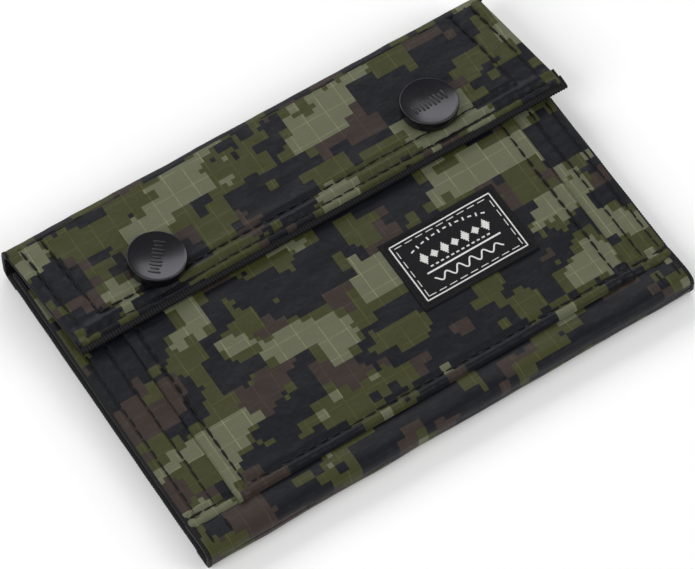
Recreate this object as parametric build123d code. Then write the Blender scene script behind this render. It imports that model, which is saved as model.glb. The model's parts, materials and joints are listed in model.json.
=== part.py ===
from build123d import *
import os

# Trifold wallet, closed, lying on its back panel.  Millimetres.
# +X along the 126 mm width, +Y from the near fold to the far fold, +Z up.
# The origin is the middle of the back panel's underside.

# ---- driving dimensions -------------------------------------------------
WIDTH = 126.0                # along X, over the end bindings
DEPTH = 87.0                 # along Y, over the two folds
FOLD_R = 1.6                 # outer radius of each fold's corners
SKIN = 1.0                   # thickness of a coated nylon shell with its backing
THIN = 0.3                   # thickness of a lining, card or window layer
BIND = 0.8                   # thickness of a binding tape
GAP = 0.2                    # from a panel's end to the fold's hinge line
CORNER_R = 1.5               # rounding of the stiffeners' and the window's corners
STIFFENER_HALF = 57.0        # half width of the board in each panel
STIFFENER_IN = 3.0           # board's distance from the panel's long edges

# Height of each layer, from the underside of the back panel up.
BACK_SHELL_T = 0.9
BACK_TOP = BACK_SHELL_T + 2 * THIN           # top of the bill pocket's inner wall
ID_FRAME_Z = 3.2
ID_WINDOW_Z = 3.6
COIN_PANEL_Z = 3.9
LINING_Z = 5.1
STIFFENER_Z = LINING_Z + THIN
SHELL_Z = STIFFENER_Z + THIN
SHELL_TOP = SHELL_Z + SKIN
POCKET_TOP = 7.4
FLAP_UNDER = 8.9
FLAP_TOP = 10.2

# Panel outlines.
HALF_CLOTH = WIDTH / 2 - BIND                # cloth ends where the bindings begin
NEAR_HINGE_Y = -(DEPTH / 2 - FOLD_R)
FAR_HINGE_Y = DEPTH / 2 - FOLD_R
NEAR_TOP_HINGE_Z = 5.4                       # upper fold line of the near fold
FAR_TOP_HINGE_Z = FLAP_TOP - FOLD_R          # upper fold line of the far fold
SPINE_T = 1.0
SEAM_Y = -36.0                               # raised lower edge of the front panel
FRONT_EDGE_Y = 39.0                          # free edge of the front, under the flap
FLAP_EDGE_Y = 13.7
FLAP_SKEW_LEFT = 1.8                         # the flap is sewn on slightly askew
FLAP_SKEW_RIGHT = 3.6
LIP_W = 5.0                                  # how far a binding tape reaches onto a panel
HEM_LIP_W = 2.6                              # the same on the flap's free edge

# Patch pocket on the front, with its woven label.
POCKET_LEFT = -50.7
POCKET_RIGHT = 52.3
POCKET_MOUTH_Y = 16.5
LABEL_X = 23.2
LABEL_Y = -9.2
LABEL_W = 30.2
LABEL_H = 19.6
LABEL_T = 0.5

# Snap fasteners.  The two were set by hand, so they aren't quite level.
SNAP_PLACES = {"left": (-35.7, 22.2), "right": (36.6, 23.3)}
CAP_R = 6.8
CAP_H = 2.7
SOCKET_R = 5.2
SOCKET_BORE_R = 2.3
SOCKET_H = 1.2
STUD_HEAD_R = 1.9
STUD_TOP = 9.0
STUD_FLANGE_R = 4.8
STUD_NECK_R = 1.5
POST_R = 2.8
RIVET_R = 1.2
RIVET_HEAD_R = 3.8
FIT = 0.1                    # clearance of a hole round a post

# Card slots: each mouth is one step nearer the near fold than the slot behind it.
SLOT_HALF = 48.0
SLOT_BOTTOM_Y = -40.0
SLOT_MOUTH_Y = 25.0
SLOT_STEP = 10.0
SLOT_COUNT = 3

# Coin pocket and its zip on the inner face of the front.
COIN_HALF = 57.0
COIN_BOTTOM_Y = -38.0
ZIP_Y = 31.0
ZIP_HALF = 48.0
COIL_Z = 3.5
COIL_H = 0.6
COIL_W = 1.75
COIL_GAP = 1.1                               # way for the slider's wedge
TAPE_Z = 3.6
TAPE_W = 4.0
SLIDER_X = 37.0
SLIDER_L = 8.0
SLIDER_HALF_W = 3.6
SLIDER_CLEAR = 0.5           # from the slider's side to the cloth beside it
SLIDER_PLAY = 0.3            # from the slider's plates to the coils
WEDGE_L = 2.0
WEDGE_W = 0.5
STOP_L = 2.0
PLATE_T = 0.4
WELT_W = 2.0                 # seam that holds the pocket's wall off the lining
WELT_TOP_Y = 25.0
PULL_PIVOT_X = 38.5
PULL_Z = 2.15
PULL_L = 20.0
PULL_W = 5.0
PIVOT_R = 0.7

# Clear window for an identity card.
WINDOW_W = 92.0
WINDOW_H = 60.0
WINDOW_Y = -7.0
FRAME_W = 9.0

SIDES = {"left": -1, "right": 1}


def slab(x0, x1, y0, y1, z0, z1, corner=0.0):
    """A flat plate between two corners, with rounded upright edges if asked."""
    plate = Box(x1 - x0, y1 - y0, z1 - z0)
    if corner:
        plate = fillet(plate.edges().filter_by(Axis.Z), corner)
    return Pos((x0 + x1) / 2, (y0 + y1) / 2, (z0 + z1) / 2) * plate


def turned(outline):
    """A solid of revolution about Z from (radius, height) points."""
    points = [(r, 0, z) for r, z in outline]
    return revolve(make_face(Polyline(*points, close=True)), Axis.Z)


def drum(x, y, z0, z1, radius):
    return Pos(x, y, (z0 + z1) / 2) * Cylinder(radius, z1 - z0)


def at_snaps(shape):
    """The same tool at both snap positions."""
    return [Pos(x, y, 0) * shape for x, y in SNAP_PLACES.values()]


def save(shape, node):
    export_step(shape, f"parts/{node}.step")


# ---- back panel ---------------------------------------------------------
def back_panel():
    y0 = NEAR_HINGE_Y + GAP
    y1 = FAR_HINGE_Y - GAP
    z1 = BACK_SHELL_T
    save(slab(-HALF_CLOTH, HALF_CLOTH, y0, y1, 0, z1), "back_shell")
    z2 = z1 + THIN
    half = STIFFENER_HALF
    stiffener = slab(-half, half, y0 + STIFFENER_IN, y1 - STIFFENER_IN, z1, z2, CORNER_R)
    save(stiffener, "back_stiffener")
    save(slab(-HALF_CLOTH, HALF_CLOTH, y0, y1, z2, BACK_TOP), "bill_pocket_wall")


def card_slots():
    for i in range(SLOT_COUNT):
        mouth = SLOT_MOUTH_Y - i * SLOT_STEP
        z0 = BACK_TOP + i * THIN
        panel = slab(-SLOT_HALF, SLOT_HALF, SLOT_BOTTOM_Y, mouth, z0, z0 + THIN)
        save(panel, f"card_slot_{i + 1}")


def end_binding(side, y0, y1, z0, z1, lip_z):
    """A tape along one end: a bar over the raw edges and a lip on the inner face."""
    outer = side * WIDTH / 2
    inner = side * HALF_CLOTH
    bar = slab(min(outer, inner), max(outer, inner), y0, y1, z0, z1)
    tip = side * (HALF_CLOTH - LIP_W)
    lip = slab(min(tip, inner), max(tip, inner), y0, y1, lip_z, lip_z + THIN)
    return bar + lip


def back_bindings():
    y0 = NEAR_HINGE_Y + GAP
    y1 = FAR_HINGE_Y - GAP
    for name, side in SIDES.items():
        bar = end_binding(side, y0, y1, 0, BACK_TOP + THIN, BACK_TOP)
        save(bar, f"back_binding_{name}")


# ---- folds --------------------------------------------------------------
def fold_spine(hinge_y, z0, z1, name):
    """The strip of cloth that joins two panels round a fold, shell and lining."""
    out = -1 if hinge_y < 0 else 1
    face = hinge_y + out * FOLD_R
    mid = face - out * (SPINE_T - THIN)
    back = face - out * SPINE_T
    ends = (-WIDTH / 2, WIDTH / 2)
    save(slab(*ends, min(face, mid), max(face, mid), z0, z1), f"{name}_shell")
    save(slab(*ends, min(mid, back), max(mid, back), z0, z1), f"{name}_lining")


def folds():
    fold_spine(NEAR_HINGE_Y, FOLD_R + GAP, NEAR_TOP_HINGE_Z - GAP, "near_spine")
    fold_spine(FAR_HINGE_Y, FOLD_R + GAP, FAR_TOP_HINGE_Z - GAP, "far_spine")


# ---- front panel --------------------------------------------------------
def front_panel():
    y0 = NEAR_HINGE_Y + GAP
    y1 = FRONT_EDGE_Y - BIND
    shell = slab(-HALF_CLOTH, HALF_CLOTH, SEAM_Y, y1, SHELL_Z, SHELL_TOP)
    lining = slab(-HALF_CLOTH, HALF_CLOTH, y0, y1, LINING_Z, STIFFENER_Z)
    half = STIFFENER_HALF
    stiffener = slab(-half, half, y0 + STIFFENER_IN, y1 - STIFFENER_IN, STIFFENER_Z, SHELL_Z, CORNER_R)
    holes = at_snaps(drum(0, 0, LINING_Z - 1, SHELL_TOP + 1, RIVET_R + FIT))
    save(shell - holes, "front_shell")
    save(lining - holes, "front_lining")
    save(stiffener - holes, "front_stiffener")
    band = slab(-HALF_CLOTH, HALF_CLOTH, y0, SEAM_Y, SHELL_Z, SHELL_TOP)
    save(band, "front_fold_band")


def patch_pocket():
    pocket = slab(POCKET_LEFT, POCKET_RIGHT, SEAM_Y, POCKET_MOUTH_Y, SHELL_TOP, POCKET_TOP)
    save(pocket, "patch_pocket")
    label = Pos(LABEL_X, LABEL_Y, POCKET_TOP + LABEL_T / 2) * Box(LABEL_W, LABEL_H, LABEL_T)
    save(fillet(label.edges().filter_by(Axis.Z), 0.8), "label_patch")


def front_bindings():
    y0 = NEAR_HINGE_Y + GAP
    y1 = FRONT_EDGE_Y - BIND
    for name, side in SIDES.items():
        bar = end_binding(side, y0, y1, LINING_Z - THIN, SHELL_TOP, LINING_Z - THIN)
        save(bar, f"front_binding_{name}")
    half = WIDTH / 2
    bar = slab(-half, half, y1, FRONT_EDGE_Y, COIN_PANEL_Z, SHELL_TOP + THIN)
    over = slab(-half, half, y1 - LIP_W, y1, SHELL_TOP, SHELL_TOP + THIN)
    save(bar + over, "front_edge_binding")


# ---- coin pocket, zip and window on the inner face ----------------------
def coin_pocket():
    z0 = COIN_PANEL_Z
    z1 = z0 + PLATE_T
    reach = SLIDER_HALF_W + SLIDER_CLEAR
    save(slab(-COIN_HALF, COIN_HALF, COIN_BOTTOM_Y, ZIP_Y - reach, z0, z1), "coin_pocket_wall")
    top = slab(-COIN_HALF, COIN_HALF, ZIP_Y + reach, FRONT_EDGE_Y - BIND, z0, z1)
    save(top, "coin_pocket_top_strip")
    inner = COIN_HALF - WELT_W
    for name, side in SIDES.items():
        x0, x1 = sorted((side * COIN_HALF, side * inner))
        save(slab(x0, x1, COIN_BOTTOM_Y, WELT_TOP_Y, z1, LINING_Z), f"coin_pocket_seam_{name}")
    seam = slab(-inner, inner, COIN_BOTTOM_Y, COIN_BOTTOM_Y + WELT_W, z1, LINING_Z)
    save(seam, "coin_pocket_seam_bottom")


def zip_track():
    rows = {"lower": -1, "upper": 1}
    for name, side in rows.items():
        inner = ZIP_Y + side * COIL_GAP / 2
        outer = inner + side * COIL_W
        edge = outer + side * TAPE_W
        y0, y1 = sorted((inner, outer))
        coil = slab(-ZIP_HALF, ZIP_HALF, y0, y1, COIL_Z, COIL_Z + COIL_H)
        coil = fillet(coil.edges().filter_by(Axis.X), 0.15)
        save(coil, f"zip_coil_{name}")
        y0, y1 = sorted((outer, edge))
        save(slab(-COIN_HALF, COIN_HALF, y0, y1, TAPE_Z, TAPE_Z + THIN), f"zip_tape_{name}")
    row = COIL_GAP / 2 + COIL_W
    for name, side in SIDES.items():
        x0, x1 = sorted((side * ZIP_HALF, side * (ZIP_HALF + STOP_L)))
        stop = slab(x0, x1, ZIP_Y - row, ZIP_Y + row, COIL_Z - 0.2, COIL_Z + COIL_H + 0.2)
        save(stop, f"zip_stop_{name}")


def zip_slider():
    x0 = SLIDER_X - SLIDER_L / 2
    x1 = SLIDER_X + SLIDER_L / 2
    w = SLIDER_HALF_W
    outer_z = COIL_Z - SLIDER_PLAY - PLATE_T
    inner_z = COIL_Z + COIL_H + SLIDER_PLAY
    outer = slab(x0, x1, ZIP_Y - w, ZIP_Y + w, outer_z, outer_z + PLATE_T, 1.2)
    inner = slab(x0, x1, ZIP_Y - w, ZIP_Y + w, inner_z, inner_z + PLATE_T, 1.2)
    wedge_x = x1 - WEDGE_L - 0.5
    half = WEDGE_W / 2
    wedge = slab(wedge_x, wedge_x + WEDGE_L, ZIP_Y - half, ZIP_Y + half, outer_z, inner_z + PLATE_T)
    body = outer + inner + wedge
    for side in SIDES.values():
        y0, y1 = sorted((ZIP_Y + side * (w - 0.6), ZIP_Y + side * w))
        lip_top = inner_z - 0.2
        body += slab(x0 + 1.2, x1 - 1.2, y0, y1, lip_top, inner_z)
    post = drum(PULL_PIVOT_X, ZIP_Y, PULL_Z - 0.25, outer_z, PIVOT_R)
    head = drum(PULL_PIVOT_X, ZIP_Y, PULL_Z - 0.35, PULL_Z - 0.15, PIVOT_R + 0.6)
    save(body + post + head, "zip_slider")


def zip_pull():
    x = PULL_PIVOT_X
    z0 = PULL_Z
    half = PULL_W / 2
    tab = slab(x - 2, x + PULL_L, ZIP_Y - half, ZIP_Y + half, z0, z0 + PLATE_T, 1.8)
    eye = drum(x, ZIP_Y, z0 - 1, z0 + 1, PIVOT_R + 2 * FIT)
    slot = slab(x + PULL_L - 7, x + PULL_L - 2, ZIP_Y - 1, ZIP_Y + 1, z0 - 1, z0 + 1, 0.9)
    save(tab - eye - slot, "zip_pull")


def id_window():
    x1 = WINDOW_W / 2
    y0 = WINDOW_Y - WINDOW_H / 2
    y1 = WINDOW_Y + WINDOW_H / 2
    top = ID_WINDOW_Z + THIN
    save(slab(-x1, x1, y0, y1, ID_WINDOW_Z, top, CORNER_R), "id_window")
    z0 = ID_FRAME_Z
    z1 = ID_WINDOW_Z
    strips = {
        "left": (-x1, -x1 + FRAME_W, y0, y1),
        "right": (x1 - FRAME_W, x1, y0, y1),
        "bottom": (-x1 + FRAME_W, x1 - FRAME_W, y0, y0 + FRAME_W),
        "top": (-x1 + FRAME_W, x1 - FRAME_W, y1 - FRAME_W, y1),
    }
    for name, box in strips.items():
        save(slab(*box, z0, z1), f"id_frame_{name}")


# ---- flap ---------------------------------------------------------------
def flap_outline(y_edge):
    """The flap's outline in plan: its free edge is shifted towards +X."""
    half = HALF_CLOTH
    y_fold = FAR_HINGE_Y - GAP
    share = (y_fold - y_edge) / (y_fold - FLAP_EDGE_Y)
    left = -half + share * FLAP_SKEW_LEFT
    right = half + share * FLAP_SKEW_RIGHT
    return [(-half, y_fold), (half, y_fold), (right, y_edge), (left, y_edge)]


def flap():
    face = make_face(Polyline(*flap_outline(FLAP_EDGE_Y), close=True))
    shell_z = FLAP_TOP - SKIN
    shell = Pos(0, 0, shell_z) * extrude(face, SKIN)
    lining = Pos(0, 0, FLAP_UNDER) * extrude(face, THIN)
    holes = at_snaps(drum(0, 0, FLAP_UNDER - 1, FLAP_TOP + 1, POST_R + FIT))
    save(shell - holes, "flap_shell")
    save(lining - holes, "flap_lining")
    left = flap_outline(FLAP_EDGE_Y)[3][0]
    right = flap_outline(FLAP_EDGE_Y)[2][0]
    bar = slab(left, right, FLAP_EDGE_Y - BIND, FLAP_EDGE_Y, FLAP_UNDER - THIN, FLAP_TOP - 0.2)
    under = slab(left, right, FLAP_EDGE_Y, FLAP_EDGE_Y + HEM_LIP_W, FLAP_UNDER - THIN, FLAP_UNDER)
    save(bar + under, "flap_edge_binding")


# ---- snap fasteners -----------------------------------------------------
def snap_cap():
    """Dished button cap with the hollow post that goes through the flap."""
    z0 = FLAP_TOP
    post_end = FLAP_UNDER - 0.4
    bore = SOCKET_BORE_R
    return turned([
        (bore, post_end), (POST_R, post_end), (POST_R, z0), (CAP_R - 0.5, z0),
        (CAP_R, z0 + 0.6), (CAP_R, z0 + 1.7), (CAP_R - 0.5, z0 + CAP_H - 0.15),
        (CAP_R - 1.0, z0 + CAP_H), (CAP_R - 1.7, z0 + CAP_H - 0.35),
        (0, z0 + CAP_H - 0.9), (0, z0 + 0.9), (bore, z0 + 0.8),
    ])


def snap_socket():
    """Ring under the flap that grips the stud; its seat takes the cap's post."""
    z1 = FLAP_UNDER
    z0 = z1 - SOCKET_H
    seat = POST_R + FIT
    return turned([
        (SOCKET_BORE_R, z0), (SOCKET_R - 1.2, z0), (SOCKET_R, z0 + 0.6), (SOCKET_R, z1),
        (seat, z1), (seat, z1 - 0.5), (SOCKET_BORE_R, z1 - 0.5),
    ])


def snap_stud():
    """Flanged stud with a bulbed head, hollow below for its rivet."""
    z0 = SHELL_TOP
    hole = RIVET_R + FIT / 2
    flange, neck = STUD_FLANGE_R, STUD_NECK_R
    return turned([
        (hole, z0), (flange, z0), (flange, z0 + 0.3), (flange - 1.6, z0 + 0.55), (neck + 0.25, z0 + 0.6),
        (neck, z0 + 1.1), (STUD_HEAD_R, z0 + 1.6), (STUD_HEAD_R, STUD_TOP - 0.3),
        (STUD_HEAD_R - 0.4, STUD_TOP), (0, STUD_TOP), (0, z0 + 1.0), (hole, z0 + 1.0),
    ])


def stud_rivet():
    """Rivet from the inner face, up through the front into the stud."""
    z1 = LINING_Z
    head = RIVET_HEAD_R
    return turned([
        (0, z1 - 0.5), (head - 0.9, z1 - 0.5), (head, z1 - 0.2), (head, z1), (RIVET_R, z1),
        (RIVET_R, SHELL_TOP + 0.9), (0, SHELL_TOP + 0.9),
    ])


def snaps():
    makers = {
        "snap_cap": snap_cap, "snap_socket": snap_socket,
        "snap_stud": snap_stud, "stud_rivet": stud_rivet,
    }
    for kind, maker in makers.items():
        for name, (x, y) in SNAP_PLACES.items():
            save(Pos(x, y, 0) * maker(), f"{kind}_{name}")


os.makedirs("parts", exist_ok=True)
back_panel()
card_slots()
back_bindings()
folds()
front_panel()
patch_pocket()
front_bindings()
coin_pocket()
zip_track()
zip_slider()
zip_pull()
id_window()
flap()
snaps()
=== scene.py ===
import json
import math

import bpy
import numpy as np
from mathutils import Matrix, Vector
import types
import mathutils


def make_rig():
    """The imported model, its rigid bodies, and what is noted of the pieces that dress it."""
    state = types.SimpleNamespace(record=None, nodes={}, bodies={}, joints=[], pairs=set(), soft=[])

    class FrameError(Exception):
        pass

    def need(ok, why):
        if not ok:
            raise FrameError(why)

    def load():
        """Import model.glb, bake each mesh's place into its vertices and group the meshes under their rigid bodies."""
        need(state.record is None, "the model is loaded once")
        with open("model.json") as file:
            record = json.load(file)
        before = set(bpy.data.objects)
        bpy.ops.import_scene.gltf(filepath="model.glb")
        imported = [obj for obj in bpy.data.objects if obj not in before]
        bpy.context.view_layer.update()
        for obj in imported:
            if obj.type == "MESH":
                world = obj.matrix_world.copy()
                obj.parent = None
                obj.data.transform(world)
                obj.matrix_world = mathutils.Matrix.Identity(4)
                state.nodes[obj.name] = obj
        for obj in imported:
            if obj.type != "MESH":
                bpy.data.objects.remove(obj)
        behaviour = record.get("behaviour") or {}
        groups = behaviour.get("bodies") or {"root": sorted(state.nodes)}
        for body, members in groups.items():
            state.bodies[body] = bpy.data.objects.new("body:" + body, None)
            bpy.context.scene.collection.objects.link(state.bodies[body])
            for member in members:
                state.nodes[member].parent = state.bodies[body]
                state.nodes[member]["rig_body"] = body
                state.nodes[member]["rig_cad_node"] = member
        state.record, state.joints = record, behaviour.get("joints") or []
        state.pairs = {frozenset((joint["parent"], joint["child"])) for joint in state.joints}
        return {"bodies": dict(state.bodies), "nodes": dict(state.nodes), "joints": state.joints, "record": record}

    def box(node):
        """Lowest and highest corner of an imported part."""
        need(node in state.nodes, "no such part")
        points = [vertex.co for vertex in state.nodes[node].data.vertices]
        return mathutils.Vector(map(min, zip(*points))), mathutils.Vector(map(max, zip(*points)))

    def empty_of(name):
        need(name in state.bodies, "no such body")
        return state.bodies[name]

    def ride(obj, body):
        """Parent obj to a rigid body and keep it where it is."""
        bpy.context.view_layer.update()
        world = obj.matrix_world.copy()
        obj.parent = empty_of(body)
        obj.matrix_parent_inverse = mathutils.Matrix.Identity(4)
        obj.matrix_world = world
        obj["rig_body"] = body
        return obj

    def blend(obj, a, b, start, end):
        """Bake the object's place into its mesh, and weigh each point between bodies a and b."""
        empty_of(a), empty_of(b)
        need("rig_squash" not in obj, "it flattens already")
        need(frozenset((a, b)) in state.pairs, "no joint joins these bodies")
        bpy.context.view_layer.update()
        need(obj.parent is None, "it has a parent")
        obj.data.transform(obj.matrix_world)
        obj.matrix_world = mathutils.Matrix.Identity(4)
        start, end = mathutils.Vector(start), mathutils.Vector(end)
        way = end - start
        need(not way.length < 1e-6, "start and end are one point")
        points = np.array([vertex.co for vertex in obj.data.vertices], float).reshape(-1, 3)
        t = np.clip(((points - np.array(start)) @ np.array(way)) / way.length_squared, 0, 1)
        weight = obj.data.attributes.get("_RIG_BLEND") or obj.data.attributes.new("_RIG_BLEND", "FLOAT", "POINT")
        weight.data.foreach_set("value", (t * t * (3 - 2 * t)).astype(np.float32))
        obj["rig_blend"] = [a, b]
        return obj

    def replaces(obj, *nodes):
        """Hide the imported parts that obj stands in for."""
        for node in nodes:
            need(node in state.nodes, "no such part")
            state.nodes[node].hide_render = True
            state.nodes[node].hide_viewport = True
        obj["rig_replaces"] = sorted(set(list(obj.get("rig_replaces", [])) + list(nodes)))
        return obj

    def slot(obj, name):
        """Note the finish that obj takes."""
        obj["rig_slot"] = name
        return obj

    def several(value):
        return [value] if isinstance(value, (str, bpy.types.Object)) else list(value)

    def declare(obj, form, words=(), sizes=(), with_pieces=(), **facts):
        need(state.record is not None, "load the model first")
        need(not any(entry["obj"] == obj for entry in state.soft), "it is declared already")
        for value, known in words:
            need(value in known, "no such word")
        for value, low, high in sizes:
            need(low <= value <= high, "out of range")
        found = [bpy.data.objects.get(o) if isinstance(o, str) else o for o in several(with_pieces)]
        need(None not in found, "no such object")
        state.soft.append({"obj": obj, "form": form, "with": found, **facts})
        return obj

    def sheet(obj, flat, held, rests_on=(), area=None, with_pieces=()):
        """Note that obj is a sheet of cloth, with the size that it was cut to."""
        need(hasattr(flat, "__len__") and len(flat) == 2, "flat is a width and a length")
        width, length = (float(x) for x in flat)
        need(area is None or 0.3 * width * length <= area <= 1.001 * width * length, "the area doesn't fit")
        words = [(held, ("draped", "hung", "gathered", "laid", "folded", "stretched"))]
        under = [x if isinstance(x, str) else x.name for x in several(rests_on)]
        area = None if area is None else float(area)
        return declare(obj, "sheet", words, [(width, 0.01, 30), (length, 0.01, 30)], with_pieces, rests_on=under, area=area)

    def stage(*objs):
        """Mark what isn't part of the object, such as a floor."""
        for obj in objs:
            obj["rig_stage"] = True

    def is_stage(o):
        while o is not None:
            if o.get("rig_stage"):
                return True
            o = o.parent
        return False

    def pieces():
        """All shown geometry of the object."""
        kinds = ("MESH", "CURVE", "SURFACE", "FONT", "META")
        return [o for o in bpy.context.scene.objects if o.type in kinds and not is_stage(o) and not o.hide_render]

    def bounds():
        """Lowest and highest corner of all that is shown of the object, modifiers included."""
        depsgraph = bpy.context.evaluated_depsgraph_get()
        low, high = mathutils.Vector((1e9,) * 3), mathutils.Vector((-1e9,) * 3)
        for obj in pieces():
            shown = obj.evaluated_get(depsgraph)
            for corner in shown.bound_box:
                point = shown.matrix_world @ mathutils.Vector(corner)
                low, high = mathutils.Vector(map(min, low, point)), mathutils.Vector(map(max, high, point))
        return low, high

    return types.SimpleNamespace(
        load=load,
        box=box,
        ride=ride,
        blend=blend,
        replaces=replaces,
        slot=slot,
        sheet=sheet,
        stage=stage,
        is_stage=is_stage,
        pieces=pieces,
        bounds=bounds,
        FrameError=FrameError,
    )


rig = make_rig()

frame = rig.load()
CAD_LOW, CAD_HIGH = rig.bounds()

# Everything below is worked out in millimetres and turned into metres as each mesh is made.
MM = 0.001


def box_mm(node):
    """Lowest and highest corners of a CAD node, in millimetres."""
    low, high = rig.box(node)
    return np.array(low) / MM, np.array(high) / MM


# ---- places and sizes ----
FRONT_LOW, FRONT_HIGH = box_mm("front_shell")
POCKET_LOW, POCKET_HIGH = box_mm("patch_pocket")
FLAP_LOW, FLAP_HIGH = box_mm("flap_shell")
BACK_LOW, BACK_HIGH = box_mm("back_shell")
NEAR_LOW, NEAR_HIGH = box_mm("near_spine_shell")
FAR_LOW, FAR_HIGH = box_mm("far_spine_shell")
LABEL_LOW, LABEL_HIGH = box_mm("label_patch")
BAND_TOP = box_mm("front_fold_band")[1][2]
SNAP_BOXES = [box_mm(f"snap_cap_{side}") for side in ("left", "right")]
SNAPS = [tuple((low[:2] + high[:2]) / 2) for low, high in SNAP_BOXES]

HALF = FRONT_HIGH[0]  # cloth's half width, inside the end bindings
TAPE_OUT = HALF + 0.78  # outer face of the tapes at both ends
TAPE_IN = HALF - 5.0  # where those tapes end on the panels' inner faces
SEAM_Y = FRONT_LOW[1]  # raised lower edge of the front
FRONT_END_Y = FRONT_HIGH[1]
FRONT_TOP = FRONT_HIGH[2]
FLAP_EDGE_Y = FLAP_LOW[1] - 0.6
FLAP_FOLD_Y = FLAP_HIGH[1]
FLAP_TOP = FLAP_HIGH[2]
HINGE_Y = 41.9  # how far the four hinge lines are from the middle
BACK_END_Y = 38.4  # how far the back's flat cloth reaches from the middle
FOLD_END_Y = 38.2  # and how far in the folds' cloth goes under it
REST_Z = 0.2  # height of the folds' cloth above the table, on average
LOW_BEND_Z = 1.6  # height on each spine that the cloth's lower bend reaches
NEAR_BEND_Z = (5.2, 6.8)  # heights where the bend of the near fold's upper corner starts and ends
FAR_BEND_Z = 8.6  # height on the far spine that the cloth's upper bend reaches
SIDES = (("left", -1), ("right", 1))

PITCH = 3.0  # stitch length with its gap
THREAD_R = 0.29
SEAM_STITCH_Y = SEAM_Y + 2.6
CREST_IN = 1.2  # from a rolled lower edge to the crest of its roll
SIDE_STITCHES = (-60.0, -55.2, 56.5, 61.0)
BACK_STITCHES = (-60.0, -55.2, 55.2, 60.0)
POCKET_STITCH_IN = 3.4  # from the pocket's side edges
FOLD_CREST_IN = 1.6  # from those edges to the crest of the folded cloth
HEM_STITCH_IN = 5.3  # from the flap's free edge, the upper row
ROLL_STITCH_IN = 1.9  # the lower row, just above the rolled edge
FLAP_OUTER_IN = 3.0  # from the flap's side edges
FLAP_INNER_IN = 8.2
INNER_STITCH_IN = 1.6  # from the side edges of the sheets inside
MOUTH_STITCHES_IN = (1.3, 3.2)  # from the mouth of a pocket inside
RIB = 0.7  # grosgrain rib spacing
TAPE_STEP = RIB / 4  # mesh spacing along a tape with ribs in its shape
COIL_PITCH = 1.1  # from one turn of the zip's coil to the next
CAP_LEAN = 6.6  # degrees that the snap caps sit off level
LEAN_AXES = ((-0.43, 0.90, 0), (-0.75, 0.66, 0))  # the lines that they lean about
BAR_TURNS = (-130.0, 3.0)  # degrees that the row of bars on each cap is turned
DISH_DEPTH, DISH_RADIUS = 0.64, 6.3  # of the hollow in a cap's top

# Width and length that each outer cloth is cut to.
FRONT_CUT = (124.4, 74.2)
POCKET_CUT = (103.0, 52.5)
LABEL_CUT = (30.2, 19.6)
FLAP_CUT = (126.2, 28.5)
FLAP_LINING_CUT = (125.0, 28.3)
BACK_CUT = (124.4, 76.8)
SMALLEST_SHEET = 10.0


# ---- shapes in numbers ----
def lines(low, high, step, near=(), reach=1.3, fine=0.22):
    """Grid coordinates, closer together at both ends and near each listed line."""
    found = list(np.linspace(low, high, max(2, int(round((high - low) / step)) + 1)))
    for place in (low, high, *near):
        found += list(place + np.arange(-reach, reach + fine / 2, fine))
    rim = 0.05
    found += [low + rim, high - rim]
    found = np.unique(np.clip(np.array(found), low, high))
    kept = [found[0]]
    for value in found[1:]:
        if value - kept[-1] > 0.55 * fine or value == low + rim:
            kept.append(value)
    kept[-1] = high
    return np.array(kept)


def roundover(distance, radius):
    """The drop of a rounded edge at this distance in from it."""
    inside = np.clip(radius - distance, 0, radius)
    return radius - np.sqrt(np.maximum(radius * radius - inside * inside, 0))


def dent(distance, width):
    """1 on a line, fading to nothing about two widths away."""
    return np.exp(-((distance / width) ** 2))


def ease(value, low, high):
    """0 up to low and 1 from high on, with a smooth step between."""
    t = np.clip((value - low) / (high - low), 0, 1)
    return t * t * (3 - 2 * t)


def inward(value, low, high):
    """Distance in from the nearer of two edges."""
    return np.minimum(value - low, high - value)


def border(x, y, low, high):
    """Distance in from the nearest edge of a box."""
    return np.minimum(inward(x, low[0], high[0]), inward(y, low[1], high[1]))


def ripple(x, y, seed, size, count=7):
    """Smooth uneven waves about one high, with crests about size apart."""
    rng = np.random.default_rng(seed)
    total = np.zeros(np.broadcast(x, y).shape)
    for _ in range(count):
        turn = rng.uniform(0, math.tau)
        wave = math.tau / (size * rng.uniform(0.7, 1.7))
        total = total + np.sin(wave * (x * math.cos(turn) + y * math.sin(turn)) + rng.uniform(0, math.tau))
    return total / math.sqrt(count)


def seam(across, along, depth, width=0.6):
    """The puckered groove of a row of stitches, with a little fullness on both sides."""
    pull = 0.62 + 0.38 * np.cos(math.tau * along / PITCH)
    full = dent(across - 1.4, 0.8) + dent(across + 1.4, 0.8)
    return depth * (0.30 * full * (1.35 - pull) - 1.25 * dent(across, width) * (0.45 + 0.55 * pull))


def tape_ribs(along, amount):
    """Ribs across a tape, for its shape."""
    return amount * np.cos(math.tau * along / RIB)


def level(z):
    """A face of a panel that is flat at one height."""
    return lambda x, y: 0 * x + z


# ---- mesh building ----
def add_mesh(name, points, faces, uv, materials, second_from=0):
    """A smooth mesh with its cloth coordinates, in millimetres, as a UV map. A second material, if
    any, starts at the face given."""
    mesh = bpy.data.meshes.new(name)
    mesh.from_pydata((np.asarray(points) * MM).tolist(), [], [list(f) for f in faces])
    mesh.shade_smooth()
    loops = np.zeros(len(mesh.loops), np.int32)
    mesh.loops.foreach_get("vertex_index", loops)
    layer = mesh.uv_layers.new(name="cloth")
    layer.uv.foreach_set("vector", np.asarray(uv, np.float32)[loops].ravel())
    for material in materials:
        mesh.materials.append(material)
    if len(materials) > 1:
        for polygon in mesh.polygons[second_from:]:
            polygon.material_index = 1
    obj = bpy.data.objects.new(name, mesh)
    bpy.context.scene.collection.objects.link(obj)
    return obj


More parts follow.
